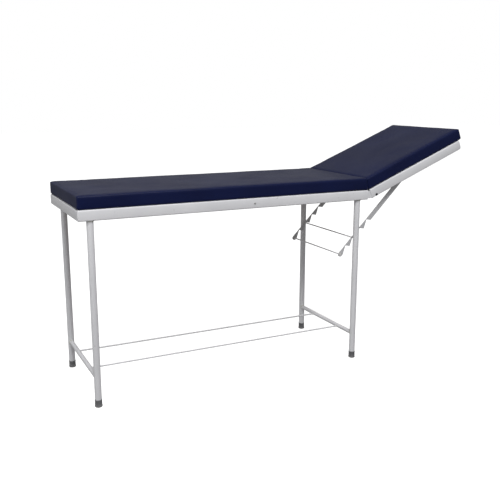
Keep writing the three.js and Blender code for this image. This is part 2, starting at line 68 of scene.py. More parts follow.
# ---- dimensions ---------------------------------------------------------------------------------
MM = 0.001
WIDTH = 500
HALF_WIDTH = WIDTH / 2
RAIL_WIDTH = 40
RAIL_HEIGHT = 42
RAIL_CORNER = 4.5  # corners of the rail section, which are 3 in the solids
RAIL_WALL = 2
PLAN_CORNER = 7  # outer corners of each frame, seen from above, which are 6 in the solids
INNER_CORNER = 3  # inner corners of each frame, seen from above
MITRE_STEPS = 4  # round half of a frame's corner
REST_DEGREES = 22  # backrest above level
BACK_LENGTH = 552
BACK_END_CORNER = 12  # lower outer corner of the rail at the head end
BACK_PAD_END = 570  # the backrest pad overhangs its frame
OPEN_END_DEPTH = 70  # how far the open rail ends at the hinge can be seen into
HINGE_GAP = 6
HINGE_DROP = 5
SLIM_RAIL_HEIGHT = 25
CROSS_RAIL_GAP = 0.2  # from each end of a cross rail to the side rail
CHEEK_SLOT_INNER = 243  # the slot under each backrest rail, which a cheek plate passes through
CHEEK_SLOT_OUTER = 248
CHEEK_SLOT_LENGTH = 28
CHEEK_SLOT_DEPTH = 4
PAD_THICKNESS = 54
PAD_OVERHANG = 1.5  # beyond the faces of the side rails
PAD_FOOT_OVERHANG = 3
PAD_TOP_EDGE = 3.5
PAD_PLAN_CORNER = 7
PAD_HINGE_GAP = 0.3  # from each pad to the plane halfway between the two
PAD_SQUEEZE = 4  # how far each pad's foam is pressed back by the other pad at the hinge
PAD_SLANT_RUN = 30  # how far from the hinge a pad's end is leant to meet the other pad
PAD_VOXEL = 5.5
PAD_UNDERSIDE = 0.4  # above the rails
FOAM_INSET = 1.0  # the foam starts this much inside the pad's outline, and the cover swells over it
FOAM_LOWER_EDGE = [(0, 4.0), (1.5, 1.6), (4.5, 0)]  # height, and distance in from the side
FOAM_CORNER_STEPS = 5
PAD_SWELL = 3.0  # the most that the cover may move as it swells
PAD_PRESSURE = 4
COVER_STIFFNESS = 25
COVER_BENDING_STIFFNESS = 2
CLOTH_QUALITY = 4
SWELL_FRAMES = 20
DRAW_IN_RISE = 0.5  # power of the height: a pad's sides are drawn in more towards its top
DRAW_IN_EDGE = 12  # power of the distance from the middle: little but the sides is drawn in
PAD_WAVE = 1.1
WAVE_ALONG = 0.008  # per millimetre
WAVE_ACROSS = 0.010
WAVE_SEED = 3.7
LEG_RADIUS = 13.45
LEG_Y = 230
LEG_BOTTOM = 5  # inside the rubber cap
CAP_RADIUS = 15.2
CAP_HEIGHT = 31
CROSS_BAR_RADIUS = 9.5
CROSS_BAR_HEIGHT = 119
STRETCHER_RADIUS = 3.5
STRETCHER_HEIGHT = 116
STRETCHER_Y = 106
ROD_RADIUS = 3
ARM_Y = 206
ARM_THICKNESS = 4
ARM_WIDTH = 22
ARM_BOSS_RADIUS = 13
NOTCH_PITCH = 52.5
NOTCH_COUNT = 4
SEATED_NOTCH = 3
NOTCH_NECK = 3
CATCH_FACE = 13.3
RAMP = 38
CATCH_PAST_APEX = 1.3
CATCH_OFF_CENTRE = 4.2
LINK_PAST_LAST_NOTCH = 46
ARM_EDGE = 0.5
LEG_WELD = 2.0  # thicknesses of the welds
BAR_WELD = 1.7
ROD_WELD = 1.3
ARM_WELD = 0.9
RAIL_WELD = 2.0
BEAD_SIDES = 8
PAINT, WELD = 0, 1  # material numbers of a piece that has welds

# ---- places taken from the frame -----------------------------------------------------------------
joints = {joint["name"]: joint for joint in frame["joints"]}
hinge = Vector(joints["backrest_hinge"]["pos_m"]) / MM
prop_pivot = Vector(joints["prop_hinge"]["pos_m"]) / MM


def middle(node):
    low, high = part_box(node)
    return (low + high) / 2 / MM


foot_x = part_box("seat_rail_foot")[0].x / MM
seat_end = hinge.x - HINGE_GAP
rail_top = hinge.z + HINGE_DROP
rail_bottom = rail_top - RAIL_HEIGHT
leg_x = {"foot": middle("leg_foot_near").x, "head": middle("leg_head_near").x}
catch = middle("catch_rod")
catch.x = leg_x["head"]
catch.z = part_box("catch_rod")[1].z / MM - ROD_RADIUS
link = middle("link_rod")
REST = math.radians(REST_DEGREES)
back_frame = Matrix.Translation(hinge) @ Matrix.Rotation(-REST, 4, "Y")
SIDES = {"near": -1, "far": 1}


# ---- camera and light ----------------------------------------------------------------------------
def add_camera():
    data = bpy.data.cameras.new("camera")
    data.sensor_width = 36
    data.lens = 49.96
    data.clip_start = 0.05
    data.clip_end = 60
    camera = bpy.data.objects.new("camera", data)
    bpy.context.scene.collection.objects.link(camera)
    camera.location = (-1.4636, -2.7616, 1.1997)
    yaw = math.radians(26.596)
    pitch = math.radians(12.609)
    roll = math.radians(0.128)
    turn = Matrix.Rotation(-yaw, 4, "Z") @ Matrix.Rotation(math.radians(90) - pitch, 4, "X")
    camera.rotation_euler = (turn @ Matrix.Rotation(roll, 4, "Z")).to_euler()
    bpy.context.scene.camera = camera


def add_area_light(name, place, target, size, power):
    data = bpy.data.lights.new(name, "AREA")
    data.shape = "DISK"
    data.size = size
    data.energy = power
    light = bpy.data.objects.new(name, data)
    bpy.context.scene.collection.objects.link(light)
    light.location = place
    light.rotation_euler = (Vector(target) - Vector(place)).to_track_quat("-Z", "Y").to_euler()


def add_world():
    """White to the camera, and a dimmer grey as light, darker from below, so that navy stays dark."""
    world = bpy.data.worlds.new("studio")
    world.use_nodes = True
    tree = world.node_tree
    light = tree.nodes["Background"]
    light.inputs["Color"].default_value = (1, 1, 1, 1)
    place = tree.nodes.new("ShaderNodeTexCoord")
    parts = tree.nodes.new("ShaderNodeSeparateXYZ")
    rise = tree.nodes.new("ShaderNodeMapRange")
    rise.inputs["From Min"].default_value = -HORIZON_BAND
    rise.inputs["From Max"].default_value = HORIZON_BAND
    rise.inputs["To Min"].default_value = AMBIENT_BELOW
    rise.inputs["To Max"].default_value = AMBIENT_ABOVE
    tree.links.new(place.outputs["Generated"], parts.inputs[0])
    tree.links.new(parts.outputs["Z"], rise.inputs["Value"])
    tree.links.new(rise.outputs["Result"], light.inputs["Strength"])
    white = tree.nodes.new("ShaderNodeBackground")
    white.inputs["Color"].default_value = (1, 1, 1, 1)
    rays = tree.nodes.new("ShaderNodeLightPath")
    chosen = tree.nodes.new("ShaderNodeMixShader")
    tree.links.new(rays.outputs["Is Camera Ray"], chosen.inputs[0])
    tree.links.new(light.outputs[0], chosen.inputs[1])
    tree.links.new(white.outputs[0], chosen.inputs[2])
    tree.links.new(chosen.outputs[0], tree.nodes["World Output"].inputs["Surface"])
    bpy.context.scene.world = world


def add_floor():
    bpy.ops.mesh.primitive_plane_add(size=FLOOR_SIZE, location=(0, 0, -FLOOR_DROP))
    floor = bpy.context.object
    floor.name = "floor"
    floor.visible_diffuse = False
    floor.visible_glossy = False
    material = bpy.data.materials.new("floor")
    material.use_nodes = True
    shader = material.node_tree.nodes["Principled BSDF"]
    shader.inputs["Base Color"].default_value = (0.8, 0.8, 0.8, 1)
    shader.inputs["Roughness"].default_value = 0.9
    shader.inputs["Specular IOR Level"].default_value = 0.1
    shader.inputs["Emission Color"].default_value = (1, 1, 1, 1)
    shader.inputs["Emission Strength"].default_value = 0.8
    floor.data.materials.append(material)


def add_studio():
    bpy.context.scene.view_settings.view_transform = "Standard"
    add_world()
    add_floor()
    add_area_light("key", (-0.9, -2.6, 3.9), (0, 0, 0.7), size=2.2, power=118)
    add_area_light("fill", (-4.2, -0.6, 1.4), (0, 0, 0.6), size=2.5, power=24)


# ---- materials -----------------------------------------------------------------------------------
class Finish:
    """A Principled material whose colour, roughness and bump are driven by procedural nodes."""

    def __init__(self, name, **fixed):
        self.material = bpy.data.materials.new(name)
        self.material.use_nodes = True
        self.tree = self.material.node_tree
        self.shader = self.tree.nodes["Principled BSDF"]
        for socket, value in fixed.items():
            self.shader.inputs[socket.replace("_", " ")].default_value = value
        self.place = self.tree.nodes.new("ShaderNodeTexCoord").outputs["Object"]
        self.height = None

    def node(self, kind, **settings):
        made = self.tree.nodes.new("ShaderNode" + kind)
        for name, value in settings.items():
            if name in made.inputs:
                made.inputs[name].default_value = value
            else:
                setattr(made, name, value)
        return made

    def join(self, source, target):
        self.tree.links.new(source, target)

    def stretched(self, scale):
        mapping = self.node("Mapping", Scale=scale)
        self.join(self.place, mapping.inputs["Vector"])
        return mapping.outputs["Vector"]

    def noise(self, scale, detail, place=None):
        made = self.node("TexNoise", Scale=scale, Detail=detail)
        self.join(place or self.place, made.inputs["Vector"])
        return made.outputs["Fac"]

    def ramp(self, value, stops):
        made = self.node("ValToRGB")
        elements = made.color_ramp.elements
        while len(elements) < len(stops):
            elements.new(0.5)
        for element, (position, color) in zip(elements, stops):
            element.position = position
            element.color = (*color, 1)
        self.join(value, made.inputs["Fac"])
        return made.outputs["Color"]

    def span(self, value, low, high, start=0.0, end=1.0):
        made = self.node("MapRange")
        for name, number in (("From Min", start), ("From Max", end), ("To Min", low), ("To Max", high)):
            made.inputs[name].default_value = number
        self.join(value, made.inputs["Value"])
        return made.outputs["Result"]

    def mix(self, factor, first, second):
        made = self.node("Mix", data_type="RGBA")
        for socket, value in ((made.inputs[0], factor), (made.inputs[6], first), (made.inputs[7], second)):
            if isinstance(value, tuple):
                socket.default_value = (*value, 1)
            elif isinstance(value, float):
                socket.default_value = value
            else:
                self.join(value, socket)
        return made.outputs[2]

    def color(self, value):
        self.join(value, self.shader.inputs["Base Color"])

    def roughness(self, value):
        self.join(value, self.shader.inputs["Roughness"])

    def bump(self, height, distance, strength):
        made = self.node("Bump", Distance=distance, Strength=strength)
        self.join(height, made.inputs["Height"])
        if self.height is not None:
            self.join(self.height, made.inputs["Normal"])
        self.height = made.outputs["Normal"]
        self.join(self.height, self.shader.inputs["Normal"])


def paint_material(name, light, dark):
    """Sprayed enamel: faint orange peel, slow shifts of tone and a few rubbed spots."""
    paint = Finish(name, Metallic=0.0, Specular_IOR_Level=0.45, Coat_Weight=0.15, Coat_Roughness=0.3)
    tone = paint.ramp(paint.noise(6.0, 4.0), [(0.3, dark), (0.7, light)])
    rubbed = paint.span(paint.noise(55.0, 6.0), 0.0, 0.55, 0.66, 0.74)
    paint.color(paint.mix(rubbed, tone, tuple(0.72 * part for part in dark)))
    paint.roughness(paint.span(paint.noise(20.0, 5.0), 0.34, 0.5))
    paint.bump(paint.noise(420.0, 2.0), 0.00012, 0.35)
    paint.bump(paint.noise(18.0, 2.0), 0.0006, 0.12)
    return paint.material


def weld_material():
    """Paint over a weld: the same grey, yellowed, with a coarser skin."""
    weld = Finish("painted_weld", Metallic=0.0, Specular_IOR_Level=0.45)
    tone = weld.ramp(weld.noise(90.0, 3.0), [(0.35, (0.52, 0.52, 0.40)), (0.65, (0.72, 0.72, 0.69))])
    weld.color(tone)
    weld.roughness(weld.span(weld.noise(60.0, 4.0), 0.4, 0.62))
    weld.bump(weld.noise(300.0, 3.0), 0.0004, 0.6)
    return weld.material


def vinyl_material():
    """Navy leathercloth: pebble grain with painted shade in its grooves, fine creases and a slight sheen from
    handling.
    """
    vinyl = Finish("navy_vinyl", Specular_IOR_Level=0.18)
    tone = vinyl.ramp(
        vinyl.noise(5.0, 4.0),
        [(0.3, (0.0022, 0.0058, 0.044)), (0.7, (0.0036, 0.0086, 0.058))],
    )
    grain = vinyl.node("TexVoronoi", Scale=520.0, feature="DISTANCE_TO_EDGE")
    vinyl.join(vinyl.place, grain.inputs["Vector"])
    pebble = vinyl.span(grain.outputs["Distance"], 0.0, 1.0, 0.0, 0.22)
    # the grooves between the pebbles are darkened towards near black: painted shade
    vinyl.color(vinyl.mix(vinyl.span(pebble, 0.35, 0.0), tone, (0.001, 0.002, 0.008)))
    vinyl.roughness(vinyl.span(vinyl.noise(9.0, 5.0), 0.36, 0.5))
    vinyl.bump(vinyl.noise(14.0, 3.0), 0.0016, 0.25)
    vinyl.bump(pebble, 0.00022, 0.5)
    return vinyl.material


def rubber_material():
    rubber = Finish("grey_rubber", Specular_IOR_Level=0.3)
    tone = rubber.ramp(rubber.noise(60.0, 4.0), [(0.3, (0.15, 0.15, 0.158)), (0.7, (0.22, 0.22, 0.23))])
    low = rubber.node("SeparateXYZ")
    rubber.join(rubber.place, low.inputs[0])
    dusty = rubber.span(low.outputs["Z"], 0.45, 0.0, 0.0, 0.014)
    rubber.color(rubber.mix(dusty, tone, (0.25, 0.245, 0.23)))
    rubber.roughness(rubber.span(rubber.noise(80.0, 4.0), 0.62, 0.85))
    rubber.bump(rubber.noise(500.0, 3.0), 0.0002, 0.5)
    return rubber.material


def plywood_material():
    wood = Finish("plywood", Specular_IOR_Level=0.3)
    along = wood.stretched((3.0, 40.0, 40.0))
    grain = wood.noise(2.2, 8.0, along)
    browns = [(0.3, (0.30, 0.17, 0.07)), (0.5, (0.45, 0.28, 0.13)), (0.72, (0.56, 0.37, 0.18))]
    wood.color(wood.ramp(grain, browns))
    wood.roughness(wood.span(grain, 0.6, 0.82))
    wood.bump(grain, 0.0004, 0.4)
    return wood.material


def steel_material(name, light, dark, rough):
    steel = Finish(name, Metallic=0.9)
    steel.color(steel.ramp(steel.noise(140.0, 5.0), [(0.3, dark), (0.7, light)]))
    steel.roughness(steel.span(steel.noise(220.0, 4.0), rough - 0.08, rough + 0.12))
    steel.bump(steel.noise(900.0, 2.0), 0.0001, 0.4)
    return steel.material


materials = {
    "paint": paint_material("white_enamel", (0.80, 0.80, 0.825), (0.72, 0.72, 0.745)),
    # the arms' enamel is the white enamel made darker: painted shade for the arms under the seat
    "arm_paint_shaded": paint_material("white_enamel_painted_shade", (0.62, 0.62, 0.635), (0.52, 0.52, 0.535)),
    "weld": weld_material(),
    "vinyl": vinyl_material(),
    "rubber": rubber_material(),
    "plywood": plywood_material(),
    "zinc": steel_material("zinc_plate", (0.62, 0.62, 0.6), (0.42, 0.42, 0.42), 0.34),
    "black_steel": steel_material("black_steel", (0.035, 0.035, 0.04), (0.012, 0.012, 0.015), 0.42),
}


# ---- mesh helpers --------------------------------------------------------------------------------
def new_mesh_object(name, points, faces, materials_used, face_materials, sharp_degrees):
    data = bpy.data.meshes.new(name)
    data.from_pydata([Vector(point) * MM for point in points], [], faces)
    for used in materials_used:
        data.materials.append(materials[used])
    data.polygons.foreach_set("material_index", face_materials)
    made = bmesh.new()
    made.from_mesh(data)
    bmesh.ops.recalc_face_normals(made, faces=made.faces)
    made.to_mesh(data)
    made.free()
    data.shade_smooth()
    data.set_sharp_from_angle(angle=math.radians(sharp_degrees))
    piece = bpy.data.objects.new(name, data)
    bpy.context.scene.collection.objects.link(piece)
    return piece


class Body:
    """Points and faces collected for one piece. Each part added is a closed surface of its own."""

    def __init__(self):
        self.points = []
        self.faces = []
        self.face_materials = []

    def loft(self, rings, material=PAINT, closed=False):
        """A skin over rings of equal length, capped at both ends or closed on itself."""
        first = len(self.points)
        count = len(rings[0])
        for ring in rings:
            self.points.extend(ring)
        spans = len(rings) if closed else len(rings) - 1
        for i in range(spans):
            low = first + i * count
            high = first + (i + 1) % len(rings) * count
            for j in range(count):
                k = (j + 1) % count
                self.faces.append((low + j, low + k, high + k, high + j))
        if not closed:
            self.faces.append(tuple(range(first, first + count)))
            last = first + (len(rings) - 1) * count
            self.faces.append(tuple(range(last, last + count)))
        self.face_materials.extend([material] * (len(self.faces) - len(self.face_materials)))

    def piece(self, name, materials_used, sharp_degrees=40):
        return new_mesh_object(
            name, self.points, self.faces, materials_used, self.face_materials, sharp_degrees
        )


def rounded_box_section(width, low, high, radius, steps=4, last_radius=None):
    """Points (a, z) round a rectangle from a = 0 to width and z = low to high.

    The corner at a = 0 and z = low may have a radius of its own.
    """
    last = last_radius or radius
    corners = [
        (width - radius, low + radius, -90, radius),
        (width - radius, high - radius, 0, radius),
        (radius, high - radius, 90, radius),
        (last, low + last, 180, last),
    ]
    section = []
    for a, z, start, corner in corners:
        for i in range(steps + 1):
            angle = math.radians(start + 90 * i / steps)
            section.append((a + corner * math.cos(angle), z + corner * math.sin(angle)))
    return section


def circle(centre, radius, first_axis, second_axis, count):
    ring = []
    for i in range(count):
        angle = 2 * math.pi * i / count
        ring.append(centre + radius * (math.cos(angle) * first_axis + math.sin(angle) * second_axis))
    return ring


def turned(body, start, end, profile, count):
    """A turned part about the line from start: profile holds (distance along it, radius)."""
    along = (end - start).normalized()
    side = along.orthogonal().normalized()
    up = along.cross(side)
    body.loft([circle(start + along * distance, radius, side, up, count) for distance, radius in profile])


def tube(body, start, end, radius, edge, count):
    length = (end - start).length
    profile = [(0, radius - edge), (edge, radius), (length - edge, radius), (length, radius - edge)]
    turned(body, start, end, profile, count)


def bead(body, path, thickness, seed):
    """A weld bead along a closed path, with the ripples of a hand-laid run."""
    rings = []
    total = len(path)
    for i, point in enumerate(path):
        ahead = path[(i + 1) % total] - path[i - 1]
        side = ahead.orthogonal().normalized()
        up = ahead.normalized().cross(side)
        unevenness = noise.noise(point * 0.35 + Vector((seed, 0, 0)))
        ripple = 1 + 0.16 * math.sin(i * 2.1 + seed) + 0.25 * unevenness
        rings.append(circle(point, thickness * ripple, side, up, BEAD_SIDES))
    body.loft(rings, WELD, closed=True)


X = Vector((1, 0, 0))
Y = Vector((0, 1, 0))
Z = Vector((0, 0, 1))


# ---- rails ---------------------------------------------------------------------------------------
def corner_points(x_closed, direction, sign, angle):
    """Outer and inner plan points at one angle round the corner where a side rail meets its end rail."""
    sin, cos = math.sin(angle), math.cos(angle)
    outer = (
        x_closed - direction * PLAN_CORNER * (1 - sin),
        sign * (HALF_WIDTH - PLAN_CORNER * (1 - cos)),
    )
    inner = (
        x_closed - direction * (RAIL_WIDTH + INNER_CORNER * (1 - sin)),
        sign * (HALF_WIDTH - RAIL_WIDTH - INNER_CORNER * (1 - cos)),
    )
    return outer, inner


def rail_ring(outer, inner, section):
    ring = []
    for a, z in section:
        share = a / RAIL_WIDTH
        ring.append(
            Vector(
                (
                    outer[0] + (inner[0] - outer[0]) * share,
                    outer[1] + (inner[1] - outer[1]) * share,
                    z,
                )
            )
        )
    return ring


def side_rail(name, x_open, x_closed, z_low, z_high, sign, end_corner=RAIL_CORNER):
    """A side rail, mitred at its welded corner and open at its hinge end.

    Its lower outer edge grows rounder round the corner, to the end rail's end_corner.
    """
    direction = 1 if x_closed > x_open else -1
    section = rounded_box_section(RAIL_WIDTH, z_low, z_high, RAIL_CORNER)
    bore = [
        (
            RAIL_WIDTH / 2 + (a - RAIL_WIDTH / 2) * (1 - 2 * RAIL_WALL / RAIL_WIDTH),
            (z_low + z_high) / 2 + (z - (z_low + z_high) / 2) * (1 - 2 * RAIL_WALL / RAIL_HEIGHT),
        )
        for a, z in section
    ]
    outer, inner = sign * HALF_WIDTH, sign * (HALF_WIDTH - RAIL_WIDTH)
    deep = x_open + direction * OPEN_END_DEPTH
    rings = [
        rail_ring((deep, outer), (deep, inner), bore),
        rail_ring((x_open, outer), (x_open, inner), bore),
        rail_ring((x_open, outer), (x_open, inner), section),
    ]
    for step in range(MITRE_STEPS + 1):
        angle = math.radians(45) * step / MITRE_STEPS
        edge = RAIL_CORNER + (end_corner - RAIL_CORNER) * step / MITRE_STEPS
        here = rounded_box_section(RAIL_WIDTH, z_low, z_high, RAIL_CORNER, last_radius=edge)
        rings.append(rail_ring(*corner_points(x_closed, direction, sign, angle), here))
    body = Body()
    body.loft(rings)
    return body.piece(name, ["paint"])


def end_rail(name, x_open, x_closed, z_low, z_high, end_corner=RAIL_CORNER):
    """The rail across the end of a frame, mitred at both corners."""
    direction = 1 if x_closed > x_open else -1
    section = rounded_box_section(RAIL_WIDTH, z_low, z_high, RAIL_CORNER, last_radius=end_corner)
    rings = []
    for sign in (-1, 1):
        for step in range(MITRE_STEPS + 1):
            turn = step if sign < 0 else MITRE_STEPS - step
            angle = math.radians(45) + math.radians(45) * turn / MITRE_STEPS
            rings.append(rail_ring(*corner_points(x_closed, direction, sign, angle), section))
    body = Body()
    body.loft(rings)
    return body.piece(name, ["paint"])


def cut(piece, low, high):
    """Cuts a box-shaped slot through a piece."""
    body = Body()
    corners = [(low.x, low.y), (high.x, low.y), (high.x, high.y), (low.x, high.y)]
    body.loft([[Vector((x, y, z)) for x, y in corners] for z in (low.z, high.z)])
    tool = body.piece("slot_cutter", ["paint"])
    modifier = piece.modifiers.new("slot", "BOOLEAN")
    modifier.operation = "DIFFERENCE"
    modifier.solver = "EXACT"
    modifier.object = tool
    apply_modifiers(piece)
    bpy.data.objects.remove(tool)


def apply_modifiers(piece):
    bpy.context.view_layer.update()
    evaluated = piece.evaluated_get(bpy.context.evaluated_depsgraph_get())
    made = bpy.data.meshes.new_from_object(evaluated)
    piece.modifiers.clear()
    piece.data = made


def place(piece, matrix):
    """Moves a piece drawn in a turned frame, in millimetres, to where it belongs in the row frame."""
    scaled = matrix.copy()
    scaled.translation = matrix.translation * MM
    piece.data.transform(scaled)
    return piece


def weld_line(body, start, end, thickness, seed):
    """A straight run of weld along an inside corner."""
    steps = max(8, int((end - start).length / 2.2))
    side = (end - start).orthogonal().normalized()
    up = (end - start).normalized().cross(side)
    rings = []
    for i in range(steps + 1):
        share = i / steps
        point = start.lerp(end, share)
        ripple = 1 + 0.15 * math.sin(i * 2.4 + seed) + 0.2 * noise.noise(point * 0.3)
        if i in (0, steps):
            ripple *= 0.35
        rings.append(circle(point, thickness * ripple, side, up, BEAD_SIDES))
    body.loft(rings, WELD)


def finished(piece, body_name, slot, *nodes):
    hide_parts(*nodes)
    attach(piece, body_name)
    return piece


def add_seat_frame():
    for side, sign in SIDES.items():
        rail = side_rail(f"seat_side_rail_{side}", seat_end, foot_x, rail_bottom, rail_top, sign)
        finished(rail, "base", "paint", f"seat_rail_{side}")
    rail = end_rail("seat_foot_rail", seat_end, foot_x, rail_bottom, rail_top)
    finished(rail, "base", "paint", "seat_rail_foot")
    start = seat_end - RAIL_WIDTH
    add_cross_rail("seat_hinge_rail", start, seat_end, rail_bottom, rail_top, "seat_rail_head")
    for number in (1, 2):
        low, high = (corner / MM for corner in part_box(f"seat_brace_{number}"))
        add_cross_rail(f"seat_brace_tube_{number}", low.x, high.x, low.z, high.z, f"seat_brace_{number}")


def cross_rail_body(x0, x1, z0, z1):
    """A rail between the side rails, with a weld down each end."""
    reach = HALF_WIDTH - RAIL_WIDTH - CROSS_RAIL_GAP
    section = rounded_box_section(x1 - x0, z0, z1, RAIL_CORNER)
    body = Body()
    body.loft([[Vector((x0 + a, y, z)) for a, z in section] for y in (-reach, reach)])
    for sign in SIDES.values():
        for x in (x0, x1):
            low = Vector((x, sign * (reach - 1), z0 + 3))
            high = Vector((x, sign * (reach - 1), z1 - 3))
            weld_line(body, low, high, RAIL_WELD, x + sign)
    return body


def add_cross_rail(name, x0, x1, z0, z1, node):
    finished(cross_rail_body(x0, x1, z0, z1).piece(name, ["paint", "weld"]), "base", "paint", node)


def add_back_frame():
    z0, z1 = HINGE_DROP - RAIL_HEIGHT, HINGE_DROP
    for side, sign in SIDES.items():
        rail = side_rail(f"back_side_rail_{side}", HINGE_GAP, BACK_LENGTH, z0, z1, sign, BACK_END_CORNER)
        y0, y1 = sorted((sign * CHEEK_SLOT_INNER, sign * CHEEK_SLOT_OUTER))
        slot_end = Vector((CHEEK_SLOT_LENGTH, y1, z0 + CHEEK_SLOT_DEPTH))
        cut(rail, Vector((0, y0, z0 - 3)), slot_end)
        rail.data.shade_smooth()
        rail.data.set_sharp_from_angle(angle=math.radians(40))
        finished(place(rail, back_frame), "backrest", "paint", f"back_rail_{side}")
    rail = end_rail("back_head_rail", HINGE_GAP, BACK_LENGTH, z0, z1, BACK_END_CORNER)
    finished(place(rail, back_frame), "backrest", "paint", "back_rail_end")
    slim = cross_rail_body(HINGE_GAP, HINGE_GAP + RAIL_WIDTH, z1 - SLIM_RAIL_HEIGHT, z1)
    rail = slim.piece("back_hinge_rail", ["paint", "weld"])
    finished(place(rail, back_frame), "backrest", "paint", "back_rail_hinge")


# ---- legs, caps and bars -------------------------------------------------------------------------
def add_legs():
    for end, x in leg_x.items():
        for side, sign in SIDES.items():
            y = sign * LEG_Y
            body = Body()
            tube(body, Vector((x, y, LEG_BOTTOM)), Vector((x, y, rail_bottom)), LEG_RADIUS, 0.4, 40)
            seed = x * 0.01 + sign
            top = Vector((x, y, rail_bottom - 1.2))
            bead(body, circle(top, LEG_RADIUS + 0.6, X, Y, 56), LEG_WELD, seed)
            bead(body, bar_weld_path(x, sign), BAR_WELD, seed + 2)
            leg = body.piece(f"leg_tube_{end}_{side}", ["paint", "weld"])
            finished(leg, "base", "paint", f"leg_{end}_{side}")
            add_foot_cap(end, side, x, y)


def bar_weld_path(x, sign):
    """The line where a cross bar meets the round of a leg."""
    path = []
    count = 40
    radius = CROSS_BAR_RADIUS + 0.4
    for i in range(count):
        angle = 2 * math.pi * i / count
        across = radius * math.cos(angle)
        depth = math.sqrt(LEG_RADIUS**2 - across**2)
        z = CROSS_BAR_HEIGHT + radius * math.sin(angle)
        path.append(Vector((x + across, sign * (LEG_Y - depth), z)))
    return path


def add_foot_cap(end, side, x, y):
    """A cap turned from its tread up over a waist and a rim, and down inside to the leg."""
    profile = [
        (0.0, 12.6),
        (0.8, 14.2),
        (2.4, CAP_RADIUS),
        (6.5, CAP_RADIUS),
        (7.6, CAP_RADIUS - 0.7),
        (9.0, CAP_RADIUS - 0.8),
        (26.0, CAP_RADIUS - 1.0),
        (27.0, CAP_RADIUS - 0.35),
        (29.6, CAP_RADIUS - 0.35),
        (CAP_HEIGHT, CAP_RADIUS - 0.9),
        (CAP_HEIGHT, LEG_RADIUS + 0.1),
        (CAP_HEIGHT - 4, LEG_RADIUS + 0.1),
    ]
    body = Body()
    turned(body, Vector((x, y, 0)), Vector((x, y, 1)), profile, 40)
    cap = body.piece(f"rubber_foot_{end}_{side}", ["rubber"], 35)
    finished(cap, "base", "rubber", f"foot_cap_{end}_{side}")


def add_lower_bars():
    for end, x in leg_x.items():
        reach = LEG_Y - LEG_RADIUS + 3
        body = Body()
        start = Vector((x, -reach, CROSS_BAR_HEIGHT))
        tube(body, start, Vector((x, reach, CROSS_BAR_HEIGHT)), CROSS_BAR_RADIUS, 0.3, 36)
        bar = body.piece(f"cross_tube_{end}", ["paint"])
        finished(bar, "base", "paint", f"cross_bar_{end}")
    for side, sign in SIDES.items():
        y = sign * STRETCHER_Y
        body = Body()
        start = Vector((leg_x["foot"] + CROSS_BAR_RADIUS - 1, y, STRETCHER_HEIGHT))
        end = Vector((leg_x["head"] - CROSS_BAR_RADIUS + 1, y, STRETCHER_HEIGHT))
        tube(body, start, end, STRETCHER_RADIUS, 0.2, 20)
        for point, seed in ((start + X * 1.2, 1), (end - X * 1.2, 5)):
            bead(body, circle(point, STRETCHER_RADIUS, Y, Z, 20), ROD_WELD, seed + sign)
        rod = body.piece(f"stretcher_rod_{side}", ["paint", "weld"])
        finished(rod, "base", "paint", f"stretcher_{side}")


def add_catch_rod():
    """The rod between the head legs. The arms lie in the two slits where it is broken."""
    slit_inner = ARM_Y - ARM_THICKNESS / 2 - 0.3
    slit_outer = ARM_Y + ARM_THICKNESS / 2 + 0.3
    body = Body()
    point = Vector((catch.x, 0, catch.z))
    tube(body, point - Y * slit_inner, point + Y * slit_inner, ROD_RADIUS, 0.2, 20)
    for sign in SIDES.values():
        start = point + Y * sign * slit_outer
        end = point + Y * sign * (LEG_Y - LEG_RADIUS + 2)
        tube(body, start, end, ROD_RADIUS, 0.2, 20)
        weld = point + Y * sign * (LEG_Y - LEG_RADIUS - 0.3)
        bead(body, circle(weld, ROD_RADIUS + 0.2, X, Z, 20), ROD_WELD, 3 + sign)
    finished(body.piece("catch_bar", ["paint", "weld"]), "base", "paint", "catch_rod")


# ---- prop ----------------------------------------------------------------------------------------
def arm_outline(seated_apex, link_at):
    """The notched bar's outline, from its pivot at the origin, with the notches towards +z."""
    half = ARM_WIDTH / 2
    points = []
    for notch in range(1, NOTCH_COUNT + 1):
        apex = seated_apex + (notch - SEATED_NOTCH) * NOTCH_PITCH
        points.append((apex - CATCH_FACE, half))
        points.append((apex - 0.5, NOTCH_NECK - half + 0.9))
        points.append((apex + 0.2, NOTCH_NECK - half))
        points.append((apex + 1.9, NOTCH_NECK - half + 0.7))
        points.append((apex + RAMP, half))
    for i in range(13):
        angle = math.radians(90 - 180 * i / 12)
        points.append((link_at + half * math.cos(angle), half * math.sin(angle)))
    boss = ARM_BOSS_RADIUS
    meet = math.asin(half / boss)
    for i in range(25):
        angle = -meet - (2 * math.pi - 2 * meet) * i / 24
        points.append((boss * math.cos(angle), boss * math.sin(angle)))
    return points


def inset(points, distance):
    """An outline moved inwards by a small distance, corner by corner."""
    moved = []
    for i, point in enumerate(points):
        here = Vector(point)
        before = (here - Vector(points[i - 1])).normalized()
        after = (Vector(points[(i + 1) % len(points)]) - here).normalized()
        normal = Vector((before.y + after.y, -before.x - after.x))
        share = max(normal.length_squared / 2, 0.4)  # so that a sharp corner isn't moved too far
        moved.append(here + normal * distance / share)
    return moved


